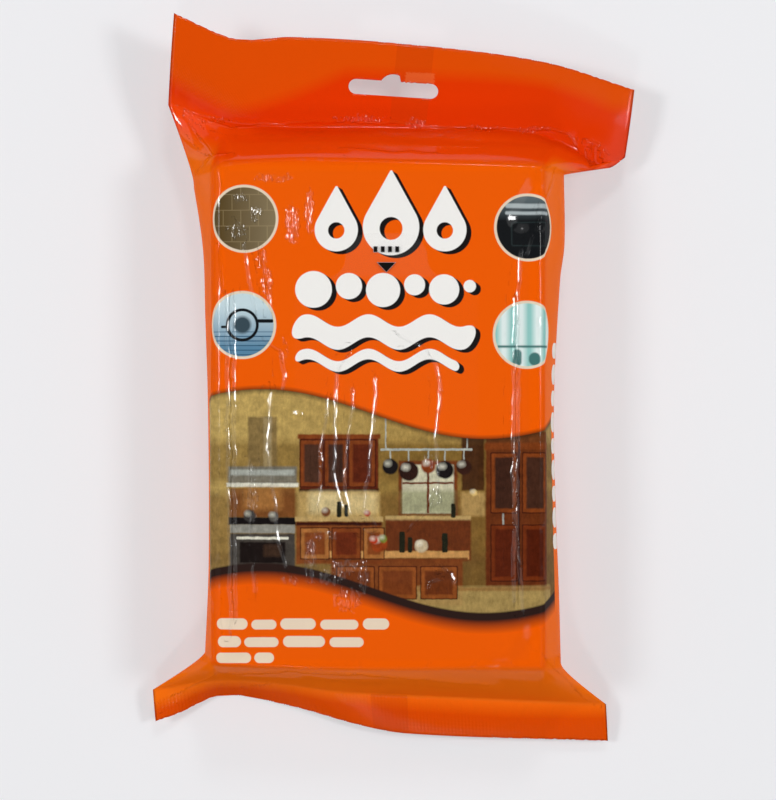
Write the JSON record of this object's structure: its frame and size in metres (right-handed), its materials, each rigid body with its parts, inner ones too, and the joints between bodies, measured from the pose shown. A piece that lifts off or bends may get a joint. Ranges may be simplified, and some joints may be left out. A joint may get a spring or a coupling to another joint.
{
  "type": "wet wipes pack",
  "caption": "Sealed flow-wrap pack of wet wipes lying on its back, with a deep crimped header, a hang slot, a crimped foot and a clear reclosable label with a pull tab.",
  "frame": {"origin": "on the flat back, under the middle of the folded stack", "axes": "+Z out of the front panel, +Y along the pack towards the header with the hang slot, +X to the right of someone looking at the front with the header up"},
  "size_m": [0.1524, 0.2286, 0.0377],
  "materials": {
    "printed_film": "gloss",
    "clear_label": "gloss"
  },
  "bodies": {
    "root": {"wipes_pack": "printed_film", "opening_label": "clear_label"}
  },
  "joints": []
}
